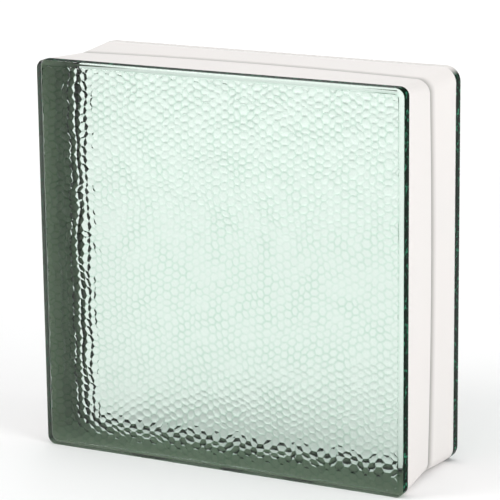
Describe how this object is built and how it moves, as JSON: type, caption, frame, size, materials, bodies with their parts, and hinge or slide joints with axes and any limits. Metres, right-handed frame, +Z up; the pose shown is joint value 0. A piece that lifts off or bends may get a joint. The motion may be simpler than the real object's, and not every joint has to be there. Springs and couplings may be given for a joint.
{
  "type": "glass block",
  "caption": "Square solid glass building block with a pebbled front, a groove round its sides and a white bonding coat between its bare rims, laid in mortar for translucent walls.",
  "frame": {"origin": "middle of the block's width and depth, on the plane of the lower rims that it stands on", "axes": "+Z up the block's height, +X along its width, +Y through its depth from the pebbled front face to the back face"},
  "size_m": [0.24, 0.08, 0.24],
  "materials": {
    "glass": "clear glass with a green tint, pebbled on the front face and smooth elsewhere",
    "coat": "satin white sprayed coating"
  },
  "bodies": {
    "root": {"glass_body": "glass", "edge_coat": "coat"}
  },
  "joints": []
}
